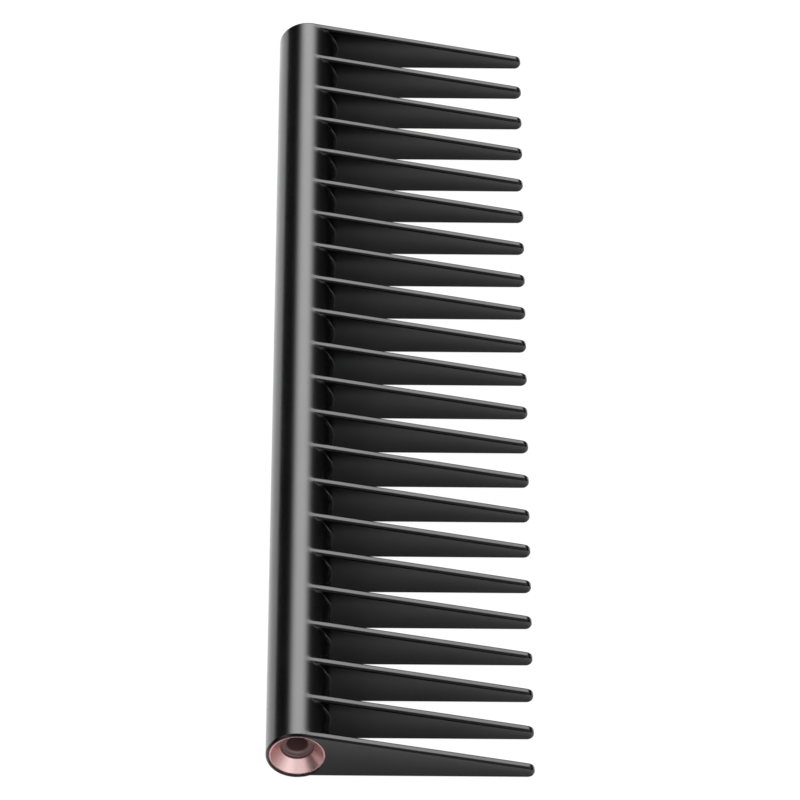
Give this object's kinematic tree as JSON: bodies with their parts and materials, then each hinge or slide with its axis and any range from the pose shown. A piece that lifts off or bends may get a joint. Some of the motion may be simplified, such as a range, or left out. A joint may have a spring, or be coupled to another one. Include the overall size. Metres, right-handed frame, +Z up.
{
  "type": "wide-tooth detangling comb",
  "caption": "Wide-tooth detangling comb: hollow round spine held in the hand, one row of flat tapered teeth along its whole length, and a metallic funnel in each open end.",
  "frame": {"origin": "on the table, at the middle of the comb's footprint, as the comb lies on its side", "axes": "+Y along the spine from the front end to the rear end, +X from the spine towards the tooth tips, +Z up; the row of teeth slopes down to the table by the angle at which the comb lies"},
  "size_m": [0.047, 0.1897, 0.011],
  "materials": {
    "black_plastic": "satin-gloss moulded black",
    "rose_metal": "satin rose metallic"
  },
  "bodies": {
    "root": {"spine_tube": "black_plastic", "front_end_funnel": "rose_metal", "rear_end_funnel": "rose_metal", "tooth_01": "black_plastic", "tooth_02": "black_plastic", "tooth_03": "black_plastic", "tooth_04": "black_plastic", "tooth_05": "black_plastic", "tooth_06": "black_plastic", "tooth_07": "black_plastic", "tooth_08": "black_plastic", "tooth_09": "black_plastic", "tooth_10": "black_plastic", "tooth_11": "black_plastic", "tooth_12": "black_plastic", "tooth_13": "black_plastic", "tooth_14": "black_plastic", "tooth_15": "black_plastic", "tooth_16": "black_plastic", "tooth_17": "black_plastic", "tooth_18": "black_plastic", "tooth_19": "black_plastic", "tooth_20": "black_plastic", "tooth_21": "black_plastic", "tooth_22": "black_plastic"}
  },
  "joints": []
}
